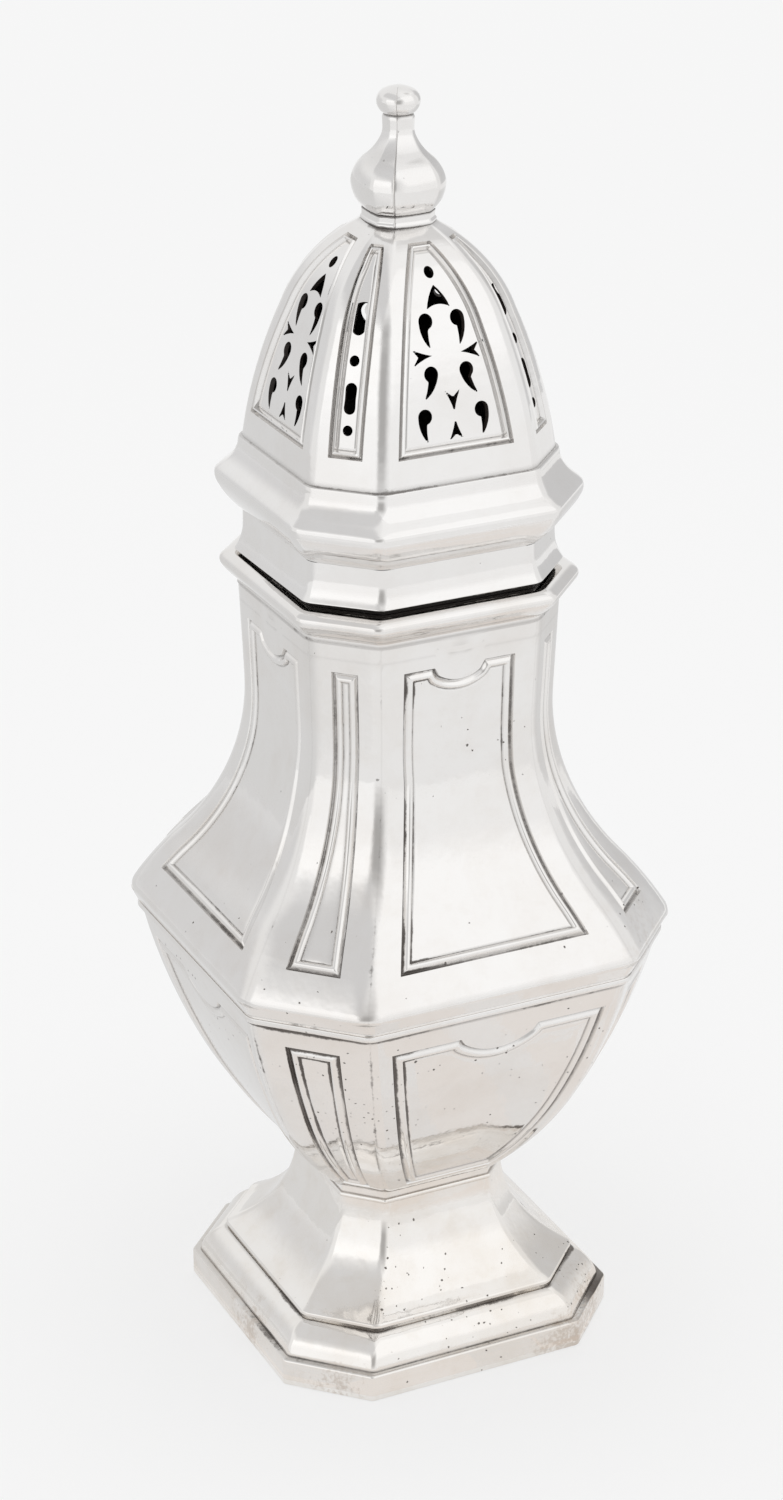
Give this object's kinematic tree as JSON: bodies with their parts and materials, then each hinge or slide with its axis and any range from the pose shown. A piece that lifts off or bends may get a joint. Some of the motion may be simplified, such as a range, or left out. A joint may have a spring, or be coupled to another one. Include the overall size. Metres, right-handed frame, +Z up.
{
  "type": "sugar caster",
  "caption": "Tall panelled silver sugar caster with cut corners: waisted vase body on a spreading foot, lift-off pierced domed cover and baluster finial.",
  "frame": {"origin": "centre of the foot on the surface that it stands on", "axes": "+Z up the axis of the caster, +X and +Y square to its broad sides, broad front towards -Y"},
  "size_m": [0.0728, 0.0728, 0.2],
  "materials": {
    "silver_foot": "polished silver with dark grooves",
    "silver_body": "polished silver with dark grooves",
    "silver_inside": "dull silver of the bezel",
    "silver_cover": "polished silver with dark grooves"
  },
  "bodies": {
    "caster_body": {"foot_rim": "silver_foot", "foot_ovolo": "silver_foot", "foot_pedestal": "silver_foot", "foot_collar": "silver_foot", "bowl": "silver_body", "girdle_band": "silver_body", "upper_body": "silver_body", "neck_rim": "silver_body"},
    "cover": {"cover_bezel": "silver_inside", "cover_skirt": "silver_cover", "cover_cornice": "silver_cover", "pierced_dome": "silver_cover", "finial_bead": "silver_cover", "finial": "silver_cover"}
  },
  "joints": [
    {"name": "cover_lift", "type": "slide", "parent": "caster_body", "child": "cover", "axis": [0, 0, 1], "range_m": [0, 0.04]}
  ]
}
